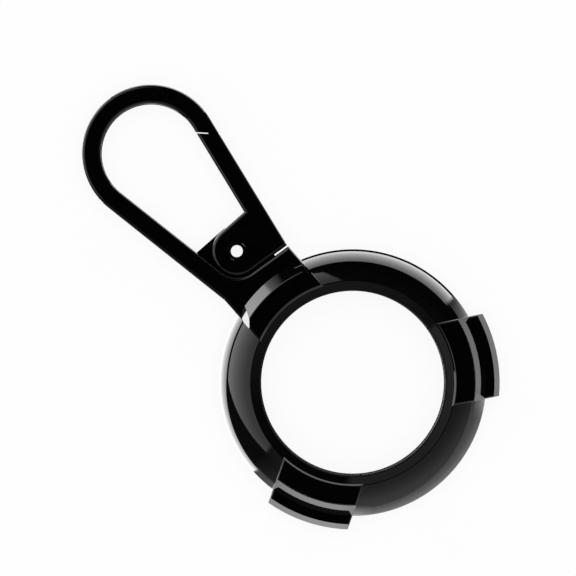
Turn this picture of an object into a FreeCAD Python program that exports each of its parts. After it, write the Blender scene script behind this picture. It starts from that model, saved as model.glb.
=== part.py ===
import FreeCAD, Part
import math
import os
from FreeCAD import Vector

# Sizes are in millimetres and angles in degrees. The origin is the centre of the tag pocket,
# +Y runs along the neck to the hook, +X is the gate's side and +Z is the front.

# Coin-shaped tracker tag that the ring holds
tag_diameter = 31.9
tag_clearance = 0.2

# Domed ring of two bezels, measured from the pocket's wall and from the plate's faces
rim_width = 3.85
bezel_height = 2.8
lip_overhang = 2.4
lip_rise = 1.0
crest_inset = 0.85
crest_round = 0.35
band_tilt = 9.5
dome_start_tilt = 12.0
corner_wall = 0.22
parting_gap = 0.04
seat_gap = 0.02

# Raised lugs on the bezels, with insets from the ring's rim and a rise above its crest
lug_count = 3
lug_first_angle = 90.0
lug_width = 12.55
lug_top_inset = 1.75
lug_foot_inset = 0.15
neck_lug_tilt = 45.0
lug_rise = 0.25
lug_slope_tilt = 44.0
lug_slope_width = 0.3
lug_slope_overlap = 0.1
lug_edge_round = 0.2
lug_side_round = 0.3
lug_notch_clearance = 0.06
facet_reach = 1.0
facet_tilt = 69.0
facet_turn = 50.0

# Plate that carries the ring, the ears and the hook
plate_thickness = 4.0
bezel_fit = 0.05
ear_flat_reach = 1.2
ear_reach = 2.02
ear_edge_height = 0.9

# Spigot of the front bezel, and the wire ring that holds it
spigot_wall = 0.5
spigot_depth = 1.4
spigot_end_gap = 0.1
snap_wire_diameter = 0.6
snap_bite = 0.15
snap_groove_clearance = 0.05
snap_opening_angle = 14.0

# Soft liners under the bezels' lips
liner_edge_width = 0.28
liner_edge_drop = 0.18
liner_clearance = 0.02
liner_seat_step = 0.25
liner_inner_thickness = 0.4
liner_plate_gap = 0.1

# Countersunk screws of the rear bezel
screw_inset = 1.05
screw_diameter = 1.0
screw_head_diameter = 1.8
screw_head_height = 0.45
screw_head_inset = 0.05
screw_end_wall = 0.3
screw_clearance = 0.05
screw_slot_width = 0.3
screw_slot_depth = 0.2

# Hook, with the legs' start above the ring and the eye above the pivot
neck_length = 2.2
eye_rise = 19.5
eye_diameter = 14.8
hook_bar = 2.9
edge_round = 0.5

# Gate, with the pivot above the legs' start and the seam below the bend of the eye
pivot_rise = 4.1
boss_diameter = 7.4
gate_gap = 0.25
gate_inset = 0.15
heel_slope = -5.5
seam_below_bend = 2.02
seam_angle = -44.0
fork_slot = 2.0
fork_root_reach = 2.15

# Web of the hook inside the fork
web_clearance = 0.08
web_end_gap = 0.1
web_corner_drop = 0.05
web_root_inset = 0.7
web_foot = 0.6

# Hollow pivot pin
pin_diameter = 2.8
pin_bore = 1.82
pin_running_fit = 0.02
pin_seat_fit = 0.01

# Tongue of the nose, in a slot of the gate's tip
tongue_thickness = 1.2
tongue_width = 1.32
tongue_length = 1.4
tongue_inset = 0.05
tongue_clearance = 0.1
tongue_side_clearance = 0.3
tongue_end_clearance = 0.9

# Spring leaf of the gate, and the channel in the gate that it lies in
leaf_thickness = 0.25
leaf_width = 1.5
leaf_root_reach = 1.0
leaf_root_angle = 35.0
leaf_bend_reach = 0.3
leaf_bend_angle = 34.0
leaf_tip_rise = 8.7
leaf_clearance = 0.06
channel_depth = 1.3
channel_start_rise = 1.7
channel_past_leaf = 0.6

# Overrun of every cut, the distance under which two points of an outline are one,
# and the share of a solid's size within which an edge counts as level
overrun = 1.0
same_point = 1e-6
level_share = 1e-4

pocket_r = tag_diameter / 2 + tag_clearance
ring_r = pocket_r + rim_width
window_r = pocket_r - lip_overhang
crest_r = pocket_r - crest_inset
plate_z = plate_thickness / 2
top_z = plate_z + bezel_height
crest_z = top_z - lug_rise
lip_z = plate_z + lip_rise
past_ring = ring_r * 2
liner_seat_r = pocket_r + liner_seat_step
spigot_r = liner_seat_r + spigot_wall
spigot_z = plate_z - spigot_depth
front_bore_r = spigot_r + bezel_fit
shoulder_z = spigot_z - spigot_end_gap
lug_half = lug_width / 2
lug_top_r = ring_r - lug_top_inset
lug_foot_r = ring_r - lug_foot_inset
neck_lug_drop = (lug_foot_r - lug_top_r) * math.tan(math.radians(neck_lug_tilt))
lug_angles = [lug_first_angle + i * 360 / lug_count for i in range(lug_count)]
lip_r = window_r + liner_edge_width + liner_clearance
snap_z = (spigot_z + plate_z) / 2
snap_r = front_bore_r - snap_bite + snap_wire_diameter / 2
snap_half = snap_wire_diameter / 2 + snap_groove_clearance
root_r = snap_r + snap_wire_diameter
screw_r = screw_diameter / 2
screw_head_r = screw_head_diameter / 2
screw_head_z = -top_z + screw_head_inset
leg_start = ring_r + neck_length
pivot_height = leg_start + pivot_rise
eye_height = pivot_height + eye_rise
leaf_tip_height = pivot_height + leaf_tip_rise
eye_r = eye_diameter / 2
hook_r = eye_r + hook_bar
boss_r = boss_diameter / 2
recess_r = boss_r + gate_gap
gate_z = plate_z - gate_inset
pin_r = pin_diameter / 2
fork_root_r = recess_r + fork_root_reach
web_r = recess_r - web_end_gap
web_half = fork_slot / 2 - web_clearance

up = Vector(0, 0, 1)
origin = Vector(0, 0, 0)
eye = Vector(0, eye_height, 0)
pivot = Vector(0, pivot_height, 0)


def on_section(u, v):
    return Vector(u, 0, v)


def polar(centre, radius, degrees):
    angle = math.radians(degrees)
    return centre + Vector(radius * math.cos(angle), radius * math.sin(angle), 0)


def mirrored(point):
    return Vector(-point.x, point.y, point.z)


def crossing(p, p_direction, q, q_direction):
    """Point where two lines on the plan meet."""
    across = p_direction.x * q_direction.y - p_direction.y * q_direction.x
    apart = q - p
    share = (apart.x * q_direction.y - apart.y * q_direction.x) / across
    return p + p_direction * share


def outline(start, steps):
    """Closed wire from start: a step is an end point for a line, or (middle, end) for an arc."""
    edges = []
    here = start
    for step in steps + [start]:
        if isinstance(step, tuple):
            edges.append(Part.Arc(here, step[0], step[1]).toShape())
            here = step[1]
        elif (step - here).Length > same_point:
            edges.append(Part.makeLine(here, step))
            here = step
    return Part.Wire(edges)


def rounded(corners, place):
    """Closed wire through the corners (u, v, radius), each rounded by its radius."""
    points = [place(u, v) for u, v, radius in corners]
    steps = []
    count = len(points)
    for i in range(count):
        corner = points[i]
        radius = corners[i][2]
        back = (points[i - 1] - corner).normalize()
        ahead = (points[(i + 1) % count] - corner).normalize()
        if radius == 0:
            steps.append(corner)
            continue
        half = back.getAngle(ahead) / 2
        inward = (back + ahead).normalize()
        tangent = radius / math.tan(half)
        middle = corner + inward * (radius / math.sin(half) - radius)
        steps.append(corner + back * tangent)
        steps.append((middle, corner + ahead * tangent))
    first = steps[-1][1] if isinstance(steps[-1], tuple) else steps[-1]
    return outline(first, steps)


def turned(wire):
    """Solid of a section turned about the ring's axis."""
    return Part.Face(wire).revolve(origin, up, 360)


def plate(wire, low, high):
    """Solid of a plan outline between two heights."""
    face = Part.Face(wire)
    face.translate(Vector(0, 0, low))
    return face.extrude(Vector(0, 0, high - low))


def rod(radius, centre, low, high):
    return Part.makeCylinder(radius, high - low, centre + Vector(0, 0, low), up)


def radial_bar(angle, half, low, high, inner, outer, radius):
    """Bar that runs outwards from the ring's axis at an angle, with rounded long edges."""
    corners = [(-half, low, radius), (half, low, radius), (half, high, radius), (-half, high, radius)]
    section = Part.Face(rounded(corners, lambda u, v: Vector(inner, u, v)))
    bar = section.extrude(Vector(outer - inner, 0, 0))
    bar.rotate(origin, up, angle)
    return bar


def round_rims(solid, radius, skip_below):
    """Round the edges of a plate's two flat faces, apart from the seam's and those below a height."""
    rims = [e for e in solid.Edges if is_rim(e, solid) and not on_seam(e)]
    return solid.makeFillet(radius, [e for e in rims if e.BoundBox.YMax > skip_below])


def is_rim(edge, solid):
    box = edge.BoundBox
    flat = box.ZLength < box.DiagonalLength * level_share
    level = abs(abs(box.ZMin) - solid.BoundBox.ZMax) < solid.BoundBox.ZLength * level_share
    return flat and level


def on_seam(edge):
    """Whether an edge runs along the seam of the nose, which stays sharp."""
    run = edge.Vertexes[-1].Point - edge.Vertexes[0].Point
    return abs(run.dot(seam_up)) < run.Length * level_share


# Straight sides of the two legs, on the gate's side
inner_lean = math.asin((eye_r - recess_r) / (eye_height - pivot_height))
inner_low = pivot + Vector(recess_r * math.cos(inner_lean), -recess_r * math.sin(inner_lean), 0)
inner_high = eye + Vector(eye_r * math.cos(inner_lean), -eye_r * math.sin(inner_lean), 0)
inner_way = (inner_high - inner_low).normalize()
outward = Vector(inner_way.y, -inner_way.x, 0)

outer_low = Vector(lug_half, leg_start, 0)
outer_bearing = math.degrees(math.atan2(outer_low.y - eye_height, outer_low.x))
outer_half = math.degrees(math.acos(hook_r / (outer_low - eye).Length))
outer_high = polar(eye, hook_r, outer_bearing + outer_half)
outer_way = (outer_high - outer_low).normalize()

# Slanted seam between the nose and the gate's tip
seam_way = polar(origin, 1, seam_angle)
seam_up = Vector(-seam_way.y, seam_way.x, 0)
level_way = Vector(1, 0, 0)
seam_height = inner_high.y - seam_below_bend
seam_inner = crossing(inner_low, inner_way, Vector(0, seam_height, 0), level_way)
seam_outer = crossing(outer_low, outer_way, Vector(0, seam_height, 0), level_way)
seam_middle = (seam_inner + seam_outer) / 2
nose_point = seam_middle + seam_up * (gate_gap / 2)
tip_point = seam_middle - seam_up * (gate_gap / 2)

# Heel line, where the gate's foot faces the neck
heel_way = polar(origin, 1, heel_slope)
heel_angle = heel_slope - 90

# Band inside the crest, which slopes from the crest's round down to the lip's edge
band = math.radians(band_tilt)
band_r = crest_r - crest_round * math.sin(band)
band_z = crest_z - crest_round * (1 - math.cos(band))
lip_edge_z = band_z - (band_r - lip_r) * math.tan(band)

# Dome outside the crest, an arc from the crest's round to the rim. The skirt's bore leaves it a wall
# over the plate's corner.
dome_tilt = math.radians(dome_start_tilt)
start_way = on_section(math.sin(dome_tilt), math.cos(dome_tilt))
dome_start = on_section(crest_r, crest_z - crest_round) + start_way * crest_round
dome_rim = on_section(ring_r, parting_gap / 2)
dome_chord = dome_rim - dome_start
dome_half_turn = math.atan2(-dome_chord.z, dome_chord.x) - dome_tilt
dome_radius = dome_chord.Length / 2 / math.sin(dome_half_turn)
dome_centre = dome_start - start_way * dome_radius
middle_tilt = dome_tilt + dome_half_turn
dome_middle = dome_centre + on_section(math.sin(middle_tilt), math.cos(middle_tilt)) * dome_radius
corner_rise = plate_z + seat_gap - dome_centre.z
skirt_r = dome_centre.x + math.sqrt(dome_radius**2 - corner_rise**2) - corner_wall
plate_ring_r = skirt_r - bezel_fit


def bezel_section(spigot, rest):
    """Section of a front bezel that seats at the height rest, with or without its spigot."""
    steps = [
        on_section(lip_r, lip_edge_z),
        on_section(band_r, band_z),
        (on_section(crest_r, crest_z), dome_start),
        (dome_middle, dome_rim),
        on_section(skirt_r, dome_rim.z),
        on_section(skirt_r, rest),
    ]
    if spigot:
        steps.append(on_section(spigot_r, rest))
        steps.append(on_section(spigot_r, spigot_z))
        steps.append(on_section(liner_seat_r, spigot_z))
    else:
        steps.append(on_section(liner_seat_r, rest))
    steps.append(on_section(liner_seat_r, lip_z))
    return outline(on_section(lip_r, lip_z), steps)


def lug_pads(rest, foot):
    """Ring with the section of a lug pad, whose outer slope ends at the points of its foot."""
    pad_root = (liner_seat_r + spigot_r) / 2
    pad_low = (lip_z + lip_edge_z) / 2
    slope_top_r = crest_r + lug_slope_overlap
    slope_foot_r = slope_top_r - lug_slope_width
    slope_foot_z = top_z - lug_slope_width * math.tan(math.radians(lug_slope_tilt))
    pad_corners = [
        (slope_foot_r, pad_low, 0),
        (slope_foot_r, slope_foot_z, 0),
        (slope_top_r, top_z, lug_edge_round),
        (lug_top_r, top_z, lug_edge_round),
    ]
    pad_corners += foot
    pad_corners += [(pad_root, rest, 0), (pad_root, pad_low, 0)]
    return turned(rounded(pad_corners, on_section))


def make_bezel(spigot, rest):
    """Domed ring with its lug pads and the notches that let the plate out."""
    ring = turned(bezel_section(spigot, rest))
    ear_pads = lug_pads(rest, [(lug_foot_r, rest, 0)])
    neck_pads = lug_pads(rest, [(lug_foot_r, top_z - neck_lug_drop, 0), (lug_foot_r, rest, 0)])
    notch_half = lug_half + lug_notch_clearance
    notch_start = math.sqrt(skirt_r**2 - notch_half**2) - lug_edge_round
    for angle in lug_angles:
        bar = radial_bar(angle, lug_half, -top_z, top_z, 0, past_ring, lug_side_round)
        notch = radial_bar(angle, notch_half, -top_z, rest, notch_start, past_ring, 0)
        if angle == lug_first_angle:
            pad = neck_pads.common(bar).cut([facet_tool(-1), facet_tool(1)])
        else:
            pad = ear_pads.common(bar)
        ring = ring.fuse(pad).cut(notch)
    return ring.removeSplitter()


def facet_tool(side):
    """Block that cuts the slanted corner facet of the neck's lug, on one side."""
    x = lug_half - facet_reach
    y = math.sqrt(lug_top_r**2 - x**2)
    tilt = math.radians(facet_tilt)
    turn = math.radians(facet_turn)
    normal = Vector(side * math.sin(tilt) * math.sin(turn), math.sin(tilt) * math.cos(turn), math.cos(tilt))
    block = Part.makeBox(ring_r, ring_r, ring_r, Vector(-ring_r / 2, -ring_r / 2, 0))
    block.Placement = FreeCAD.Placement(Vector(side * x, y, top_z), FreeCAD.Rotation(up, normal))
    return block


def snap_groove(inner, outer):
    """Ring-shaped cut for the snap wire."""
    low = snap_z - snap_half
    high = snap_z + snap_half
    corners = [(inner, low, 0), (outer, low, 0), (outer, high, 0), (inner, high, 0)]
    return turned(rounded(corners, on_section))


def make_front_bezel():
    groove = snap_groove(snap_r - snap_half, front_bore_r)
    return make_bezel(True, plate_z + seat_gap).cut(groove)


def screw_places():
    return [polar(origin, pocket_r + screw_inset, angle) for angle in lug_angles]


def make_rear_bezel():
    bezel = make_bezel(False, plate_z).mirror(origin, up)
    for place in screw_places():
        bezel = bezel.cut(screw_shape(place, screw_clearance, overrun))
    return bezel


def screw_shape(place, clearance, past):
    """Screw body, or the hole for it with a clearance and a run past both ends."""
    shank = rod(screw_r + clearance, place, screw_head_z, shoulder_z - screw_end_wall + clearance)
    base = place + Vector(0, 0, screw_head_z)
    head = Part.makeCone(screw_head_r + clearance, screw_r + clearance, screw_head_height, base, up)
    shape = shank.fuse(head)
    if past:
        mouth = rod(screw_head_r + clearance, place, screw_head_z - past, screw_head_z)
        shape = shape.fuse(mouth)
    return shape.removeSplitter()


def make_rear_screws():
    slot_length = screw_head_diameter + overrun
    slot_height = screw_slot_depth + overrun
    corner = Vector(-slot_length / 2, -screw_slot_width / 2, screw_head_z - overrun)
    screws = []
    for place in screw_places():
        slot = Part.makeBox(slot_length, screw_slot_width, slot_height, place + corner)
        screws.append(screw_shape(place, 0, 0).cut(slot))
    return Part.makeCompound(screws)


def make_snap_ring():
    """Open ring of round spring wire."""
    start = on_section(snap_r, snap_z)
    circle = Part.makeCircle(snap_wire_diameter / 2, start, Vector(0, 1, 0))
    wire = Part.Face(Part.Wire(circle)).revolve(origin, up, 360 - snap_opening_angle)
    wire.rotate(origin, up, -lug_first_angle + snap_opening_angle / 2)
    return wire


def make_front_liner():
    """Soft ring under the lip, with an edge that lines the window."""
    edge_r = window_r + liner_edge_width
    outer = liner_seat_r - liner_clearance
    edge_z = lip_edge_z - liner_edge_drop
    corners = [
        (window_r, lip_z - liner_inner_thickness, 0),
        (outer, plate_z + liner_plate_gap, 0),
        (outer, lip_z, 0),
        (edge_r, lip_z, 0),
        (edge_r, edge_z, 0),
        (window_r, edge_z, 0),
    ]
    return turned(rounded(corners, on_section))


def make_plate_ring():
    """Annulus inside the bezels, with the stepped bore."""
    corners = [
        (pocket_r, -plate_z, 0),
        (plate_ring_r, -plate_z, 0),
        (plate_ring_r, plate_z, 0),
        (front_bore_r, plate_z, 0),
        (front_bore_r, shoulder_z, 0),
        (pocket_r, shoulder_z, 0),
    ]
    ring = turned(rounded(corners, on_section))
    return ring.cut(snap_groove(front_bore_r - snap_half, snap_r + snap_half))


def make_ears():
    """The two flanged ears that stand out under the lugs."""
    ear_flat_r = ring_r + ear_flat_reach
    ear_r = ring_r + ear_reach
    edge = ear_edge_height / 2
    corners = [
        (root_r, -plate_z, 0),
        (ear_flat_r, -plate_z, 0),
        (ear_r, -edge, 0),
        (ear_r, edge, 0),
        (ear_flat_r, plate_z, 0),
        (root_r, plate_z, 0),
    ]
    disc = turned(rounded(corners, on_section))
    ears = []
    for angle in lug_angles[1:]:
        bar = radial_bar(angle, lug_half, -plate_z, plate_z, 0, past_ring, lug_side_round)
        ears.append(disc.common(bar))
    return ears


def make_hook():
    """Neck, fixed leg, eye and nose as one rounded plate."""
    neck_low = Vector(lug_half, root_r, 0)
    heel_start = polar(pivot, recess_r, heel_angle)
    heel_end = crossing(heel_start, heel_way, neck_low, Vector(0, 1, 0))
    nose_outer = crossing(nose_point, seam_way, outer_low, outer_way)
    nose_inner = crossing(nose_point, seam_way, inner_low, inner_way)
    recess_middle = polar(pivot, recess_r, (heel_angle + 180 + math.degrees(inner_lean) - 360) / 2)
    steps = [
        mirrored(outer_low),
        mirrored(outer_high),
        (polar(eye, hook_r, 90), outer_high),
        nose_outer,
        nose_inner,
        inner_high,
        (polar(eye, eye_r, 90), mirrored(inner_high)),
        mirrored(inner_low),
        (recess_middle, heel_start),
        heel_end,
        neck_low,
    ]
    hook = plate(outline(mirrored(neck_low), steps), -plate_z, plate_z)
    return round_rims(hook, edge_round, root_r)


def make_web():
    """Thin tongue of the hook inside the fork, which carries the pin."""
    web_rise = web_r - web_corner_drop
    arc_end = math.degrees(math.asin(web_rise / web_r))
    foot = Vector(web_r, leg_start - web_foot - gate_gap, 0)
    steps = [
        Vector(web_r, pivot_height, 0),
        (polar(pivot, web_r, arc_end / 2), polar(pivot, web_r, arc_end)),
        Vector(-lug_half + web_root_inset, pivot_height + web_rise, 0),
        Vector(-lug_half + web_root_inset, foot.y, 0),
    ]
    return plate(outline(foot, steps), -web_half, web_half)


def along_gate(height, depth):
    """Point at a height of the gate's inner side, a depth into the gate."""
    side = crossing(inner_low, inner_way, Vector(0, height, 0), level_way)
    return side + outward * depth


def make_tongue():
    """Tongue of the nose that the gate's tip closes on."""
    leg_width = (seam_outer - seam_inner).dot(outward)
    outer = leg_width - tongue_inset
    inner = outer - tongue_width
    root = inner_way * tongue_length
    corners = [
        along_gate(seam_height, inner) + root,
        along_gate(seam_height, outer) + root - inner_way * tongue_width,
        along_gate(seam_height, outer) - root,
        along_gate(seam_height, inner) - root,
    ]
    return plate(outline(corners[-1], corners), -tongue_thickness / 2, tongue_thickness / 2)


def leaf_route():
    """Middle line of the spring leaf: its root in the web, its bend and its tip on the gate."""
    depth = channel_depth - leaf_clearance - leaf_thickness / 2
    root = polar(pivot, pin_r + leaf_root_reach, leaf_root_angle)
    bend = polar(pivot, fork_root_r + leaf_bend_reach, leaf_bend_angle)
    return [root, bend, along_gate(leaf_tip_height, depth)]


def strip(points, thickness):
    """Outline of a bent strip along three points."""
    ways = [(points[1] - points[0]).normalize(), (points[2] - points[1]).normalize()]
    sides = [Vector(-w.y, w.x, 0) * (thickness / 2) for w in ways]
    left = crossing(points[0] + sides[0], ways[0], points[2] + sides[1], ways[1])
    right = crossing(points[0] - sides[0], ways[0], points[2] - sides[1], ways[1])
    steps = [left, points[2] + sides[1], points[2] - sides[1], right, points[0] - sides[0]]
    return outline(points[0] + sides[0], steps)


def make_gate_spring():
    return plate(strip(leaf_route(), leaf_thickness), -leaf_width / 2, leaf_width / 2)


def make_hook_frame():
    frame = make_plate_ring().fuse(make_ears() + [make_hook(), make_web(), make_tongue()])
    frame = frame.cut(rod(pin_r + pin_seat_fit, pivot, -plate_z, plate_z))
    leaf_slot = plate(strip(leaf_route(), leaf_thickness + leaf_clearance * 2), -plate_z, plate_z)
    frame = frame.cut(leaf_slot.common(rod(fork_root_r, pivot, -plate_z, plate_z)))
    for place in screw_places():
        frame = frame.cut(screw_shape(place, screw_clearance, overrun))
    return frame.removeSplitter()


def make_gate():
    """Swinging leg: a fork on the pin, a channel for the leaf and a slot for the nose's tongue."""
    heel_start = polar(pivot, boss_r, heel_angle)
    heel_outer = crossing(heel_start, heel_way, outer_low, outer_way)
    tip_outer = crossing(tip_point, seam_way, outer_low, outer_way)
    tip_inner = crossing(tip_point, seam_way, inner_low, inner_way)
    boss_top = polar(pivot, boss_r, 90)
    heel_inner = crossing(boss_top, level_way, inner_low, inner_way)
    boss_left = polar(pivot, boss_r, (90 + heel_angle + 360) / 2)
    steps = [heel_outer, tip_outer, tip_inner, heel_inner, boss_top, (boss_left, heel_start)]
    gate = plate(outline(heel_start, steps), -gate_z, gate_z)
    gate = round_rims(gate, edge_round, 0)
    pin_hole = rod(pin_r + pin_running_fit, pivot, -gate_z, gate_z)
    for cut in (fork_cut(), channel_cut(), tongue_cut(), pin_hole):
        gate = gate.cut(cut)
    return gate.removeSplitter()


def fork_cut():
    return rod(fork_root_r, pivot, -fork_slot / 2, fork_slot / 2)


def channel_cut():
    low = pivot_height + channel_start_rise
    high = leaf_tip_height + channel_past_leaf
    corners = [
        along_gate(low, -overrun),
        along_gate(low, channel_depth),
        along_gate(high, channel_depth),
        along_gate(high, -overrun),
    ]
    return plate(outline(corners[-1], corners), -fork_slot / 2, fork_slot / 2)


def tongue_cut():
    leg_width = (seam_outer - seam_inner).dot(outward)
    inner = leg_width - tongue_inset - tongue_width - tongue_clearance
    reach = tongue_length + tongue_end_clearance
    half = tongue_thickness / 2 + tongue_side_clearance
    low = inner_way * -reach
    high = inner_way * (hook_bar + overrun)
    corners = [
        along_gate(seam_height, inner) + low,
        along_gate(seam_height, leg_width + overrun) + low,
        along_gate(seam_height, leg_width + overrun) + high,
        along_gate(seam_height, inner) + high,
    ]
    return plate(outline(corners[-1], corners), -half, half)


def make_gate_pin():
    return rod(pin_r, pivot, -gate_z, gate_z).cut(rod(pin_bore / 2, pivot, -gate_z, gate_z))


def main():
    front_liner = make_front_liner()
    nodes = {
        "hook_frame": make_hook_frame(),
        "front_bezel": make_front_bezel(),
        "rear_bezel": make_rear_bezel(),
        "front_liner": front_liner,
        "rear_liner": front_liner.mirror(origin, up),
        "rear_screws": make_rear_screws(),
        "snap_ring": make_snap_ring(),
        "gate": make_gate(),
        "gate_pin": make_gate_pin(),
        "gate_spring": make_gate_spring(),
    }
    os.makedirs("parts", exist_ok=True)
    for name, shape in nodes.items():
        print(name, len(shape.Solids), round(shape.Volume, 2), shape.isValid())
        shape.exportStep("parts/" + name + ".step")


main()
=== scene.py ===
import math
import bmesh
import bpy
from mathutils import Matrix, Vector

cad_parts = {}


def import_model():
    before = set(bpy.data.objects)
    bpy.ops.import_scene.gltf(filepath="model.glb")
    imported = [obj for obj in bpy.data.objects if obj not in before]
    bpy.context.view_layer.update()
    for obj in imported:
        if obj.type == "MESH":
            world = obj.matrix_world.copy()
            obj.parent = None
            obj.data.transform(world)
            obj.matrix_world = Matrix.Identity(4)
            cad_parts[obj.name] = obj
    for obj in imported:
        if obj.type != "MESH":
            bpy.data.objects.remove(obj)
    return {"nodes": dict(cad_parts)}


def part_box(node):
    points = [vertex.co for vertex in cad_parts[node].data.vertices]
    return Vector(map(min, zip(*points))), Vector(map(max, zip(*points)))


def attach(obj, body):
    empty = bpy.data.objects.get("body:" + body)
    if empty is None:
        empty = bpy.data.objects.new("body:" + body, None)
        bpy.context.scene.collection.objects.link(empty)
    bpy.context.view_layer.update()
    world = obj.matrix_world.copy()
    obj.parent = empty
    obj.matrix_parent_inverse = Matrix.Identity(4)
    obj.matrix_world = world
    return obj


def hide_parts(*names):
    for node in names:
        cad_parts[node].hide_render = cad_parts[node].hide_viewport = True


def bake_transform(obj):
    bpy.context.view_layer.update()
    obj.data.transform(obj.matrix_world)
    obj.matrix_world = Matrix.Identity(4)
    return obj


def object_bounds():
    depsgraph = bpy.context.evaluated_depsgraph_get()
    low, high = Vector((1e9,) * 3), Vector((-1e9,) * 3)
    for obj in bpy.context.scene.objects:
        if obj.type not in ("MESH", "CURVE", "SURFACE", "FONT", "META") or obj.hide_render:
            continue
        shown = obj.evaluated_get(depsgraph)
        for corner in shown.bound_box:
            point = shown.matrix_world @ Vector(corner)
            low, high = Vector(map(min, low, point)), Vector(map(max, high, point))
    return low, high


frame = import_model()
cad_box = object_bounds()
scene = bpy.context.scene
nodes = frame["nodes"]

# Lengths are in metres. The part's +X axis points to PICTURE_TURN in the picture, counted from the
# picture's right-hand side. FULL runs from none to all.
MM = 0.001
FULL = (0.0, 1.0)
PICTURE_TURN = math.radians(41.42)
FLOOR_Z = cad_box[0].z
RING_RADIUS = -cad_box[0].y

# Camera: straight on from the front, with a long lens
CAMERA_CENTRE = (2.10 * MM, 17.07 * MM)
CAMERA_DISTANCE = 0.96
CAMERA_LENS = 400.0
CAMERA_SENSOR = 36.0
CAMERA_CLIP = (CAMERA_DISTANCE / 100, CAMERA_DISTANCE * 10)

# Floor: its own white is mixed with what the lamp gives it, so that it keeps the shadow. Mirrored rays
# see only the ring of it close under the part.
FLOOR_HALF = 1.5
FLOOR_WHITE_SHARE = 0.9
FLOOR_GRAIN_SCALE = 40.0
FLOOR_GREYS = (0.88, 0.92)
FLOOR_ROUGHNESS = 0.9
NEAR_FLOOR_REACH = 2.3 * MM
NEAR_FLOOR_WIDTH = 8.5 * MM
NEAR_FLOOR_LIFT = 0.02 * MM

# Lamp overhead, and the even light from all round
LAMP_HEIGHT = 1.5
LAMP_SIZE = 1.2
LAMP_POWER = 19.0
AMBIENT = 0.3

# Studio that the polished black mirrors. Angles are counted in the picture from its right-hand side,
# heights are the upward share of a direction, and levels are 1 for white. A pair of levels belongs to the
# pair of heights or cosines beside it. Sides and tops are planes that a light lies in front of.
BOX_EDGE = 0.03
ZENITH_FADE = (0.985, 0.92)
LEFT_BOX_SIDES = ((-0.087, 0.827, 0.555), (-0.767, -0.461, 0.445), (-0.944, -0.301, 0.132),
                  (-0.574, -0.499, 0.649))
LEFT_BOX_FOOT = -0.15
LEFT_BOX_HEIGHTS = (0.9, 0.0)
LEFT_BOX_LEVELS = (0.48, 2.15)
LEFT_BOX_END = 221.0
NECK_CARD_ANGLES = (120.0, 150.5)
NECK_CARD_ANGLE = 155.0
NECK_CARD_COSINES = (0.86, 0.99)
NECK_CARD_HEIGHTS = (0.2, -0.15)
NECK_CARD_LEVEL = 3.0
LOW_HEIGHTS = (0.08, -0.62)
LOW_LEVELS = (1.7, 4.6)
LEFT_LOW_TOP = (0.270, 0.371, -0.889)
LEFT_LOW_HEIGHT = -0.27
LEFT_LOW_ANGLES = (125.0, 224.5)
TOP_LOW_ANGLES = (38.0, 125.0)
TOP_LOW_HEIGHTS = (0.1, -0.72)
TOP_LOW_SIDE = (0.779, 0.370, -0.506)
FILL_ANGLE = 295.0
FILL_COSINES = (0.25, 1.0)
FILL_HEIGHTS = (0.92, 0.3)
FILL_LEVELS = (0.11, 0.57)
TABLE_ANGLES = (221.0, 355.0)
TABLE_TOP = (0.225, 0.268, -0.937)
TABLE_HEIGHTS = (-0.6, -0.8)
TABLE_LEVELS = (0.4, 0.12)
CARD_ANGLES = (251.0, 372.0)
CARD_COSINES = (0.88, 0.97)
CARD_START = 233.0
CARD_TOP = -0.08
CARD_LEVEL = 1.3
GLOW_ANGLE = 255.0
GLOW_COSINES = (-1.0, 1.0)
GLOW_LEVELS = (0.02, 0.12)
GLOW_HEIGHTS = (0.9, 0.5)
GLOW_LOW_SHARE = 0.35
SHADOW_HEIGHTS = (-0.93, -0.86)

# Soft liners: round of their corners, and how finely they are turned
LINER_ROUND = 0.08 * MM
CORNER_TOLERANCE = 0.01 * MM
ROUND_STEPS = 5
TURN_STEPS = 256

# Spring leaf: where it bends, counted from the gate's pivot, which is from the end of the holder's web to
# the start of the gate's channel
LEAF_BEND = (3.9 * MM, 6.0 * MM)
LEAF_BEND_STEPS = 14
LEAF_SHARP_ANGLE = math.radians(30.0)
LEAF_WELD = 0.001 * MM

# Materials: scales are per metre, greys and roughnesses run from low to high, and a cut is the span of a
# noise over which its mark appears
NOISE_SPAN = (0.3, 0.7)
BLACK_IOR = 1.6
WEAR_SAMPLES = 6
WEAR_MATCH = (0.99, 0.85)
WEAR_CUT = (0.4, 0.6)

COAT_HAZE_SCALE = 180.0
COAT_ROUGHNESS = (0.015, 0.045)
COAT_TINT_SCALE = 900.0
COAT_GREYS = (0.0006, 0.0012)
COAT_WEAR_REACH = 0.05 * MM
COAT_WEAR_SCALE = 1400.0
COAT_WEAR_GREY = 0.012
COAT_RIPPLE_SCALE = 600.0
COAT_RIPPLE_DEPTH = 0.0004 * MM
SCRATCHES = ((5000.0, (1.0, 0.04, 0.5)), (4200.0, (0.04, 1.0, 0.5)))
SCRATCH_CUT = (0.64, 0.72)
SCRATCH_ROUGHNESS = (0.0, 0.03)

OXIDE_GRAIN_SCALE = 2500.0
OXIDE_GRAIN_STRETCH = (1.0, 1.0, 0.2)
OXIDE_GREYS = (0.0008, 0.002)
OXIDE_ROUGHNESS = (0.05, 0.11)
OXIDE_DEPTH = 0.0006 * MM
OXIDE_WEAR_REACH = 0.04 * MM
OXIDE_WEAR_SCALE = 2000.0
OXIDE_WEAR_GREY = 0.02

STEEL_GRAIN_SCALE = 6000.0
STEEL_GRAIN_STRETCH = (1.0, 0.15, 1.0)
STEEL_GREYS = (0.42, 0.56)
STEEL_ROUGHNESS = (0.18, 0.34)
STEEL_DEPTH = 0.001 * MM
STAIN_SCALE = 700.0
STAIN_GREY = 0.3
STAIN_CUT = (0.55, 0.8)
STAIN_SHARE = (0.0, 0.6)

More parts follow.
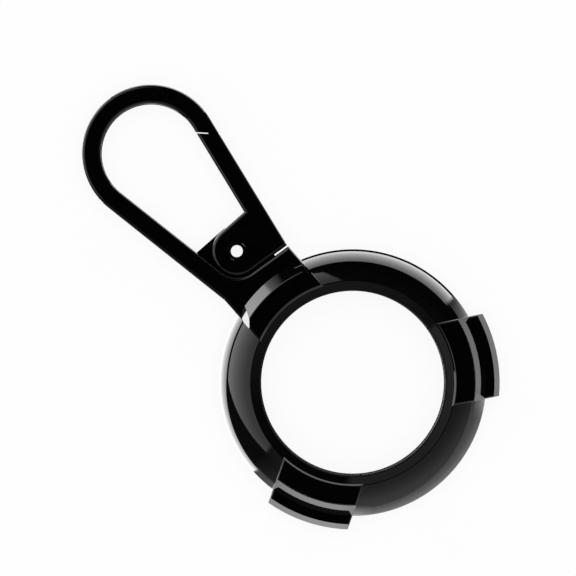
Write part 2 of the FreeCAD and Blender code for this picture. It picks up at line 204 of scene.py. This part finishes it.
RUBBER_GRAIN_SCALE = 7000.0
RUBBER_GREYS = (0.003, 0.007)
RUBBER_ROUGHNESS = (0.5, 0.72)
RUBBER_DEPTH = 0.006 * MM
RUBBED_SCALE = 500.0
RUBBED_GREY = 0.011
RUBBED_CUT = (0.5, 0.8)


# Materials

def new_material(name):
    """Empty material with one shader, as (material, node tree, shader)."""
    material = bpy.data.materials.new(name)
    material.use_nodes = True
    tree = material.node_tree
    tree.nodes.clear()
    shader = tree.nodes.new("ShaderNodeBsdfPrincipled")
    output = tree.nodes.new("ShaderNodeOutputMaterial")
    tree.links.new(shader.outputs["BSDF"], output.inputs["Surface"])
    return material, tree, shader


def noise(tree, scale, detail=3.0, stretch=(1.0, 1.0, 1.0)):
    """Noise in the part's own coordinates, with a scale per metre."""
    place = tree.nodes.new("ShaderNodeTexCoord")
    mapping = tree.nodes.new("ShaderNodeMapping")
    mapping.inputs["Scale"].default_value = stretch
    texture = tree.nodes.new("ShaderNodeTexNoise")
    texture.inputs["Scale"].default_value = scale
    texture.inputs["Detail"].default_value = detail
    tree.links.new(place.outputs["Object"], mapping.inputs["Vector"])
    tree.links.new(mapping.outputs["Vector"], texture.inputs["Vector"])
    return texture.outputs["Fac"]


def spread(tree, value, source, target, smooth=False):
    """The value, moved from one range to another and kept inside it."""
    node = tree.nodes.new("ShaderNodeMapRange")
    node.interpolation_type = "SMOOTHSTEP" if smooth else "LINEAR"
    node.inputs["From Min"].default_value = source[0]
    node.inputs["From Max"].default_value = source[1]
    node.inputs["To Min"].default_value = target[0]
    node.inputs["To Max"].default_value = target[1]
    tree.links.new(value, node.inputs["Value"])
    return node.outputs["Result"]


def joined(tree, operation, values):
    """Several values, joined one after the other by an operation."""
    result = values[0]
    for value in values[1:]:
        node = tree.nodes.new("ShaderNodeMath")
        node.operation = operation
        tree.links.new(result, node.inputs[0])
        tree.links.new(value, node.inputs[1])
        result = node.outputs["Value"]
    return result


def times(tree, *values):
    return joined(tree, "MULTIPLY", values)


def plus(tree, *values):
    return joined(tree, "ADD", values)


def tinted(tree, value, greys):
    """A grey between two, by a noise value."""
    ramp = tree.nodes.new("ShaderNodeValToRGB")
    for element, position, grey in zip(ramp.color_ramp.elements, NOISE_SPAN, greys):
        element.position = position
        element.color = (grey, grey, grey, 1.0)
    tree.links.new(value, ramp.inputs["Fac"])
    return ramp.outputs["Color"]


def edge_wear(tree, reach, patches):
    """Mask of sharp edges within a reach, broken up by a noise value."""
    soft = tree.nodes.new("ShaderNodeBevel")
    soft.samples = WEAR_SAMPLES
    soft.inputs["Radius"].default_value = reach
    plain = tree.nodes.new("ShaderNodeNewGeometry")
    match = tree.nodes.new("ShaderNodeVectorMath")
    match.operation = "DOT_PRODUCT"
    tree.links.new(soft.outputs["Normal"], match.inputs[0])
    tree.links.new(plain.outputs["Normal"], match.inputs[1])
    worn = spread(tree, match.outputs["Value"], WEAR_MATCH, FULL)
    return times(tree, worn, spread(tree, patches, WEAR_CUT, FULL))


def mixed(tree, color, grey, share):
    """The colour, moved towards a grey by a share value."""
    mix = tree.nodes.new("ShaderNodeMix")
    mix.data_type = "RGBA"
    mix.inputs["B"].default_value = (grey, grey, grey, 1.0)
    tree.links.new(share, mix.inputs["Factor"])
    tree.links.new(color, mix.inputs["A"])
    return mix.outputs["Result"]


def raised(tree, shader, height, depth):
    """Lets a height value raise the surface by a depth."""
    bump = tree.nodes.new("ShaderNodeBump")
    bump.inputs["Strength"].default_value = 1.0
    bump.inputs["Distance"].default_value = depth
    tree.links.new(height, bump.inputs["Height"])
    tree.links.new(bump.outputs["Normal"], shader.inputs["Normal"])


def polished_black():
    """Black coat on polished metal: wiping haze, fine scratches both ways, thin wear on sharp edges."""
    material, tree, shader = new_material("polished_black")
    haze = spread(tree, noise(tree, COAT_HAZE_SCALE, detail=4.0), NOISE_SPAN, COAT_ROUGHNESS)
    scratches = [
        spread(tree, noise(tree, scale, detail=1.0, stretch=stretch), SCRATCH_CUT, SCRATCH_ROUGHNESS)
        for scale, stretch in SCRATCHES
    ]
    tree.links.new(plus(tree, haze, plus(tree, *scratches)), shader.inputs["Roughness"])
    coat = tinted(tree, noise(tree, COAT_TINT_SCALE), COAT_GREYS)
    worn = edge_wear(tree, COAT_WEAR_REACH, noise(tree, COAT_WEAR_SCALE))
    tree.links.new(mixed(tree, coat, COAT_WEAR_GREY, worn), shader.inputs["Base Color"])
    shader.inputs["IOR"].default_value = BLACK_IOR
    raised(tree, shader, noise(tree, COAT_RIPPLE_SCALE, detail=1.0), COAT_RIPPLE_DEPTH)
    return material


def black_steel():
    """Black oxide on turned steel: fine marks round the turned faces, rubbed paler on the edges."""
    material, tree, shader = new_material("black_steel")
    grain = noise(tree, OXIDE_GRAIN_SCALE, stretch=OXIDE_GRAIN_STRETCH)
    oxide = tinted(tree, grain, OXIDE_GREYS)
    worn = edge_wear(tree, OXIDE_WEAR_REACH, noise(tree, OXIDE_WEAR_SCALE))
    tree.links.new(mixed(tree, oxide, OXIDE_WEAR_GREY, worn), shader.inputs["Base Color"])
    tree.links.new(spread(tree, grain, NOISE_SPAN, OXIDE_ROUGHNESS), shader.inputs["Roughness"])
    shader.inputs["IOR"].default_value = BLACK_IOR
    raised(tree, shader, grain, OXIDE_DEPTH)
    return material


def spring_steel():
    """Bright drawn steel with marks along its length and darker stains."""
    material, tree, shader = new_material("spring_steel")
    grain = noise(tree, STEEL_GRAIN_SCALE, detail=4.0, stretch=STEEL_GRAIN_STRETCH)
    stains = spread(tree, noise(tree, STAIN_SCALE), STAIN_CUT, STAIN_SHARE)
    steel = mixed(tree, tinted(tree, grain, STEEL_GREYS), STAIN_GREY, stains)
    tree.links.new(steel, shader.inputs["Base Color"])
    tree.links.new(spread(tree, grain, NOISE_SPAN, STEEL_ROUGHNESS), shader.inputs["Roughness"])
    shader.inputs["Metallic"].default_value = 1.0
    raised(tree, shader, grain, STEEL_DEPTH)
    return material


def liner_rubber():
    """Matt black rubber with a fine moulded grain and paler rubbed patches."""
    material, tree, shader = new_material("liner_rubber")
    grain = noise(tree, RUBBER_GRAIN_SCALE, detail=5.0)
    rubbed = spread(tree, noise(tree, RUBBED_SCALE), RUBBED_CUT, FULL)
    rubber = mixed(tree, tinted(tree, grain, RUBBER_GREYS), RUBBED_GREY, rubbed)
    tree.links.new(rubber, shader.inputs["Base Color"])
    tree.links.new(spread(tree, grain, NOISE_SPAN, RUBBER_ROUGHNESS), shader.inputs["Roughness"])
    raised(tree, shader, grain, RUBBER_DEPTH)
    return material


def pale_floor():
    """White paper with a faint mottle, which the camera sees almost as pure white."""
    material, tree, shader = new_material("pale_floor")
    mottle = tinted(tree, noise(tree, FLOOR_GRAIN_SCALE), FLOOR_GREYS)
    tree.links.new(mottle, shader.inputs["Base Color"])
    shader.inputs["Roughness"].default_value = FLOOR_ROUGHNESS
    shader.inputs["Specular IOR Level"].default_value = 0.0
    white = tree.nodes.new("ShaderNodeEmission")
    ray = tree.nodes.new("ShaderNodeLightPath")
    share = spread(tree, ray.outputs["Is Camera Ray"], FULL, (0.0, FLOOR_WHITE_SHARE))
    mix = tree.nodes.new("ShaderNodeMixShader")
    tree.links.new(share, mix.inputs["Fac"])
    tree.links.new(shader.outputs["BSDF"], mix.inputs[1])
    tree.links.new(white.outputs["Emission"], mix.inputs[2])
    output = next(n for n in tree.nodes if n.type == "OUTPUT_MATERIAL")
    tree.links.new(mix.outputs["Shader"], output.inputs["Surface"])
    return material


# Pieces of the scene's own: the soft liners, turned from their solids' sections, and the spring leaf

def liner_corners(node):
    """Corners (radius, height) of a liner's section, in order round it."""
    points = [(math.hypot(v.co.x, v.co.y), v.co.z) for v in node.data.vertices]
    side = 1.0 if sum(z for r, z in points) > 0.0 else -1.0
    points = [(r, z * side) for r, z in points]
    near = CORNER_TOLERANCE
    inner = min(r for r, z in points)
    outer = max(r for r, z in points)
    top = max(z for r, z in points)
    inner_low = min(z for r, z in points if r < inner + near)
    outer_low = min(z for r, z in points if r > outer - near)
    shoulder = max(z for r, z in points if r > outer - near)
    edge = max(r for r, z in points if z > top - near)
    section = [(inner, inner_low), (outer, outer_low), (outer, shoulder)]
    section += [(edge, shoulder), (edge, top), (inner, top)]
    return [(r, z * side) for r, z in section]


def rounded_section(corners, radius):
    """Closed section with each corner rounded by a short curve."""
    points = []
    count = len(corners)
    for i in range(count):
        corner = Vector(corners[i])
        back = Vector(corners[i - 1]) - corner
        ahead = Vector(corners[(i + 1) % count]) - corner
        start = corner + back.normalized() * min(radius, back.length / 2)
        end = corner + ahead.normalized() * min(radius, ahead.length / 2)
        for step in range(ROUND_STEPS + 1):
            t = step / ROUND_STEPS
            points.append(start * (1 - t) ** 2 + corner * (2 * t * (1 - t)) + end * t ** 2)
    return points


def turned_ring(name, section):
    """Mesh of a closed section turned about the ring's axis."""
    count = len(section)
    vertices = []
    for step in range(TURN_STEPS):
        angle = 2 * math.pi * step / TURN_STEPS
        vertices += [(p[0] * math.cos(angle), p[0] * math.sin(angle), p[1]) for p in section]
    faces = []
    for step in range(TURN_STEPS):
        here = step * count
        there = (step + 1) % TURN_STEPS * count
        for i in range(count):
            j = (i + 1) % count
            faces.append((here + i, there + i, there + j, here + j))
    mesh = bpy.data.meshes.new(name)
    mesh.from_pydata(vertices, [], faces)
    mesh.polygons.foreach_set("use_smooth", [True] * len(faces))
    mesh.update()
    ring = bpy.data.objects.new(name, mesh)
    scene.collection.objects.link(ring)
    return ring


def add_liner(node_name, body, material):
    """A soft liner with rounded corners, in the place of its solid."""
    section = rounded_section(liner_corners(nodes[node_name]), LINER_ROUND)
    ring = turned_ring("soft_" + node_name, section)
    ring.data.materials.append(material)
    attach(ring, body)
    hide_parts(node_name)


def add_leaf(material):
    """The gate's spring leaf, cut in steps across the stretch where it bends."""
    solid = nodes["gate_spring"]
    pin_low, pin_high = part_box("gate_pin")
    pivot = (Vector(pin_low) + Vector(pin_high)) / 2
    root = min((v.co for v in solid.data.vertices), key=lambda p: (p.xy - pivot.xy).length)
    way = Vector((root.x - pivot.x, root.y - pivot.y, 0.0)).normalized()
    start, end = (pivot + way * reach for reach in LEAF_BEND)
    shape = bmesh.new()
    shape.from_mesh(solid.data)
    bmesh.ops.remove_doubles(shape, verts=shape.verts, dist=LEAF_WELD)
    for step in range(LEAF_BEND_STEPS + 1):
        geometry = shape.verts[:] + shape.edges[:] + shape.faces[:]
        place = start.lerp(end, step / LEAF_BEND_STEPS)
        bmesh.ops.bisect_plane(shape, geom=geometry, plane_co=place, plane_no=way)
    mesh = bpy.data.meshes.new("bent_leaf")
    shape.to_mesh(mesh)
    shape.free()
    mesh.set_sharp_from_angle(angle=LEAF_SHARP_ANGLE)
    mesh.materials.clear()
    mesh.materials.append(material)
    leaf = bpy.data.objects.new("bent_leaf", mesh)
    scene.collection.objects.link(leaf)
    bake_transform(leaf)
    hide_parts("gate_spring")


def dress_parts():
    """Materials for the CAD nodes that are shown, and the pieces that replace the others."""
    black = polished_black()
    steel = black_steel()
    bright_steel = spring_steel()
    rubber = liner_rubber()
    finishes = {
        "hook_frame": black,
        "front_bezel": black,
        "rear_bezel": black,
        "gate": black,
        "gate_pin": steel,
        "rear_screws": steel,
        "snap_ring": bright_steel,
    }
    for name, material in finishes.items():
        nodes[name].data.materials.clear()
        nodes[name].data.materials.append(material)
    add_liner("front_liner", "front_cover", rubber)
    add_liner("rear_liner", "holder", rubber)
    add_leaf(bright_steel)


# Studio: a pale floor, one large lamp overhead, and the soft boxes that the polished black mirrors

def add_floor(white):
    """The floor that the camera sees, which takes the shadow."""
    mesh = bpy.data.meshes.new("floor")
    signs = ((-1, -1), (1, -1), (1, 1), (-1, 1))
    corners = [(x * FLOOR_HALF, y * FLOOR_HALF, FLOOR_Z) for x, y in signs]
    mesh.from_pydata(corners, [], [(0, 1, 2, 3)])
    mesh.materials.append(white)
    floor = bpy.data.objects.new("floor", mesh)
    floor.visible_glossy = False
    scene.collection.objects.link(floor)


def add_near_floor(white):
    """The floor close under the ring, which only mirrored rays see. Further out they see the studio."""
    outer = RING_RADIUS + NEAR_FLOOR_REACH
    inner = outer - NEAR_FLOOR_WIDTH
    z = FLOOR_Z + NEAR_FLOOR_LIFT
    vertices = []
    for step in range(TURN_STEPS):
        angle = 2 * math.pi * step / TURN_STEPS
        vertices += [(r * math.cos(angle), r * math.sin(angle), z) for r in (inner, outer)]
    count = len(vertices)
    faces = [(i, i + 1, (i + 3) % count, (i + 2) % count) for i in range(0, count, 2)]
    mesh = bpy.data.meshes.new("near_floor")
    mesh.from_pydata(vertices, [], faces)
    mesh.materials.append(white)
    ring = bpy.data.objects.new("near_floor", mesh)
    ring.visible_camera = False
    ring.visible_diffuse = False
    ring.visible_transmission = False
    ring.visible_shadow = False
    scene.collection.objects.link(ring)


def add_lamp():
    """One large soft lamp overhead, which isn't mirrored."""
    light = bpy.data.lights.new("overhead_lamp", "AREA")
    light.size = LAMP_SIZE
    light.energy = LAMP_POWER
    lamp = bpy.data.objects.new("overhead_lamp", light)
    lamp.location = (*CAMERA_CENTRE, LAMP_HEIGHT)
    lamp.visible_glossy = False
    scene.collection.objects.link(lamp)


def along(tree, vector, way):
    """How far a vector reaches along a direction."""
    node = tree.nodes.new("ShaderNodeVectorMath")
    node.operation = "DOT_PRODUCT"
    node.inputs[1].default_value = way
    tree.links.new(vector, node.inputs[0])
    return node.outputs["Value"]


def levelled(tree, vector):
    """Direction of a vector with its height taken out."""
    flat = tree.nodes.new("ShaderNodeVectorMath")
    flat.operation = "MULTIPLY"
    flat.inputs[1].default_value = (1.0, 1.0, 0.0)
    tree.links.new(vector, flat.inputs[0])
    unit = tree.nodes.new("ShaderNodeVectorMath")
    unit.operation = "NORMALIZE"
    tree.links.new(flat.outputs["Vector"], unit.inputs[0])
    return unit.outputs["Vector"]


def level_way(angle):
    """Level direction at an angle of the picture."""
    return (math.cos(math.radians(angle)), math.sin(math.radians(angle)), 0.0)


def add_world():
    """White for the camera, an even light for matt surfaces, and the studio for mirrored rays."""
    world = bpy.data.worlds.new("studio")
    world.use_nodes = True
    tree = world.node_tree
    background = next(n for n in tree.nodes if n.type == "BACKGROUND")
    place = tree.nodes.new("ShaderNodeTexCoord")
    turn = tree.nodes.new("ShaderNodeMapping")
    turn.vector_type = "VECTOR"
    turn.inputs["Rotation"].default_value = (0.0, 0.0, PICTURE_TURN)
    tree.links.new(place.outputs["Generated"], turn.inputs["Vector"])
    way = turn.outputs["Vector"]
    height = along(tree, way, (0.0, 0.0, 1.0))
    level = levelled(tree, way)

    def edged(value):
        return spread(tree, value, (0.0, BOX_EDGE), FULL, smooth=True)

    def inside(plane):
        """Directions in front of a plane."""
        return edged(along(tree, way, plane))

    def after(angle):
        """Level directions up to half a turn after an angle of the picture."""
        return edged(along(tree, level, level_way(angle + 90.0)))

    def before(angle):
        """Level directions up to half a turn before an angle of the picture."""
        return edged(along(tree, level, level_way(angle - 90.0)))

    def between(first, last):
        return times(tree, after(first), before(last))

    def above(low):
        return spread(tree, height, (low, low + BOX_EDGE), FULL, smooth=True)

    def below(high):
        return spread(tree, height, (high - BOX_EDGE, high), (1.0, 0.0), smooth=True)

    def towards(angle, cosines, levels):
        """Level that changes with the cosine of the angle away."""
        return spread(tree, along(tree, level, level_way(angle)), cosines, levels)

    def by_height(heights, levels):
        return spread(tree, height, heights, levels)

    overhead = by_height(ZENITH_FADE, FULL)
    # Tall soft box on the left, brighter towards the table
    left_box = times(
        tree, *[inside(side) for side in LEFT_BOX_SIDES], inside(level_way(LEFT_BOX_END - 90.0)),
        above(LEFT_BOX_FOOT), overhead, by_height(LEFT_BOX_HEIGHTS, LEFT_BOX_LEVELS),
    )
    # Bright card behind the neck
    neck_card = times(
        tree, between(*NECK_CARD_ANGLES), below(NECK_CARD_HEIGHTS[0]), above(NECK_CARD_HEIGHTS[1]),
        towards(NECK_CARD_ANGLE, NECK_CARD_COSINES, (0.0, NECK_CARD_LEVEL)),
    )
    # Low light on the left and at the top, which the table's edge cuts off at the top
    low_level = by_height(LOW_HEIGHTS, LOW_LEVELS)
    left_low = times(
        tree, between(*LEFT_LOW_ANGLES), inside(LEFT_LOW_TOP), below(LEFT_LOW_HEIGHT), low_level,
    )
    top_low = times(
        tree, between(*TOP_LOW_ANGLES), inside(TOP_LOW_SIDE), below(TOP_LOW_HEIGHTS[0]),
        above(TOP_LOW_HEIGHTS[1]), low_level,
    )
    # Dim fill on the near side, the table under it with two pale cards, and a faint glow all round
    fill = times(
        tree, towards(FILL_ANGLE, FILL_COSINES, FULL), overhead, by_height(FILL_HEIGHTS, FILL_LEVELS),
    )
    table = times(
        tree, between(*TABLE_ANGLES), inside(TABLE_TOP), by_height(TABLE_HEIGHTS, TABLE_LEVELS),
    )
    cards = [towards(angle, CARD_COSINES, (0.0, CARD_LEVEL)) for angle in CARD_ANGLES]
    cards = times(
        tree, plus(tree, *cards), inside(level_way(CARD_START + 90.0)), below(CARD_TOP),
    )
    glow = times(
        tree, towards(GLOW_ANGLE, GLOW_COSINES, GLOW_LEVELS), overhead,
        by_height(GLOW_HEIGHTS, (1.0, GLOW_LOW_SHARE)),
    )
    # Straight below, the table lies in the part's own shadow
    lit_table = by_height(SHADOW_HEIGHTS, FULL)
    lights = plus(tree, left_box, neck_card, left_low, top_low, fill, table, cards, glow)
    mirrored = times(tree, lights, lit_table)

    ray = tree.nodes.new("ShaderNodeLightPath")
    plain = spread(tree, ray.outputs["Is Camera Ray"], FULL, (AMBIENT, 1.0))
    choice = tree.nodes.new("ShaderNodeMix")
    choice.data_type = "FLOAT"
    tree.links.new(ray.outputs["Is Glossy Ray"], choice.inputs["Factor"])
    tree.links.new(plain, choice.inputs["A"])
    tree.links.new(mirrored, choice.inputs["B"])
    tree.links.new(choice.outputs["Result"], background.inputs["Strength"])
    background.inputs["Color"].default_value = (1.0, 1.0, 1.0, 1.0)
    scene.world = world


def add_camera():
    """The photograph's view, turned so that the part lies as in the picture."""
    data = bpy.data.cameras.new("camera")
    data.lens = CAMERA_LENS
    data.sensor_width = CAMERA_SENSOR
    data.clip_start, data.clip_end = CAMERA_CLIP
    camera = bpy.data.objects.new("camera", data)
    camera.location = (*CAMERA_CENTRE, CAMERA_DISTANCE)
    camera.rotation_euler = (0.0, 0.0, -PICTURE_TURN)
    scene.collection.objects.link(camera)
    scene.camera = camera
    scene.view_settings.view_transform = "Standard"


dress_parts()
floor_white = pale_floor()
add_floor(floor_white)
add_near_floor(floor_white)
add_lamp()
add_world()
add_camera()
